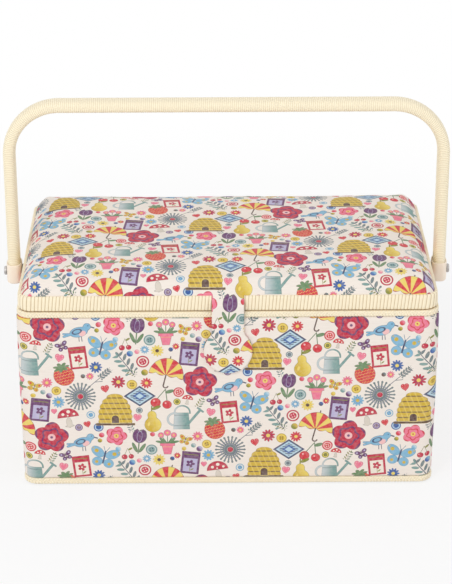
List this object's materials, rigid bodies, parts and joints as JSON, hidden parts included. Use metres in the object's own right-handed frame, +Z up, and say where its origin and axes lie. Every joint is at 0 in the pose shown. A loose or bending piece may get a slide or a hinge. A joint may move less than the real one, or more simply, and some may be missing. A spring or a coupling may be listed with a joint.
{
  "type": "sewing box",
  "caption": "Fabric-covered rectangular sewing box with a padded hinged lid, wrapped swing handle, magnetic closure tab and a sliding compartment tray.",
  "frame": {"origin": "middle of the underside of the base, on the surface that the box stands on", "axes": "+X to the box's right along its width, +Y towards the hinges at the back, +Z up"},
  "size_m": [0.4192, 0.2377, 0.337],
  "materials": {
    "printed_fabric": "printed cotton, plain weave",
    "lining_fabric": "plain cream cotton",
    "elastic": "woven elastic braid",
    "cushion_fabric": "plain red cotton, stuffed",
    "foam": "soft foam, hidden under the cover",
    "whipped_strip": "cream plastic strip, wound close",
    "braid": "cream braided strip",
    "cap_plastic": "pinkish beige moulding",
    "core_plastic": "extruded bar, hidden in the wrap",
    "bush_plastic": "dark nylon",
    "fibreboard": "raw fibreboard, hidden by the covers",
    "base_paper": "laminated card",
    "card": "grey card",
    "tray_plastic": "ivory moulding",
    "plated_steel": "nickel plate"
  },
  "bodies": {
    "box": {"front_board": "fibreboard", "back_board": "fibreboard", "left_board": "fibreboard", "right_board": "fibreboard", "base_board": "fibreboard", "base_sheet": "base_paper", "body_cover": "printed_fabric", "base_trim": "braid", "rim_trim": "braid", "body_lining": "lining_fabric", "tray_ledge_left": "fibreboard", "tray_ledge_right": "fibreboard", "catch_plate": "plated_steel", "handle_screws": "plated_steel", "screw_washers": "plated_steel", "screw_nuts": "plated_steel", "hinge_body_leaves": "plated_steel", "hinge_pins": "plated_steel", "hinge_body_rivets": "plated_steel"},
    "lid": {"lid_rim_front": "fibreboard", "lid_rim_back": "fibreboard", "lid_rim_left": "fibreboard", "lid_rim_right": "fibreboard", "lid_board": "fibreboard", "lid_pad": "foam", "lid_cover": "printed_fabric", "lid_trim": "whipped_strip", "lid_lining": "lining_fabric", "lid_pocket": "lining_fabric", "pocket_elastic": "elastic", "pin_cushion": "cushion_fabric", "tab_root": "printed_fabric", "hinge_lid_leaves": "plated_steel", "hinge_lid_rivets": "plated_steel"},
    "tab": {"closure_tab": "printed_fabric", "tab_stiffener": "card", "tab_magnet": "plated_steel"},
    "bushes": {"handle_bushes": "bush_plastic"},
    "handle": {"handle_core": "core_plastic", "handle_wrap": "whipped_strip", "handle_cap_left": "cap_plastic", "handle_cap_right": "cap_plastic"},
    "tray_unit": {"tray": "tray_plastic"}
  },
  "joints": [
    {"name": "lid_open", "type": "hinge", "parent": "box", "child": "lid", "pos_m": [0, 0.1171, 0.176], "axis": [-1, 0, 0], "range_deg": [0, 100]},
    {"name": "tab_lift", "type": "hinge", "parent": "lid", "child": "tab", "pos_m": [0, -0.1165, 0.177], "axis": [-1, 0, 0], "range_deg": [0, 75]},
    {"name": "handle_carry", "type": "hinge", "parent": "box", "child": "bushes", "pos_m": [0, 0, 0.1675], "axis": [-1, 0, 0], "range_deg": [0, 100]},
    {"name": "handle_swing", "type": "hinge", "parent": "bushes", "child": "handle", "pos_m": [0, 0, 0.1675], "axis": [-1, 0, 0], "range_deg": [-120, 20]},
    {"name": "tray_slide", "type": "slide", "parent": "box", "child": "tray_unit", "axis": [0, -1, 0], "range_m": [0, 0.07]}
  ],
  "couplings": [
    {"joint": "handle_carry", "follows": "lid_open", "ratio": 1}
  ]
}
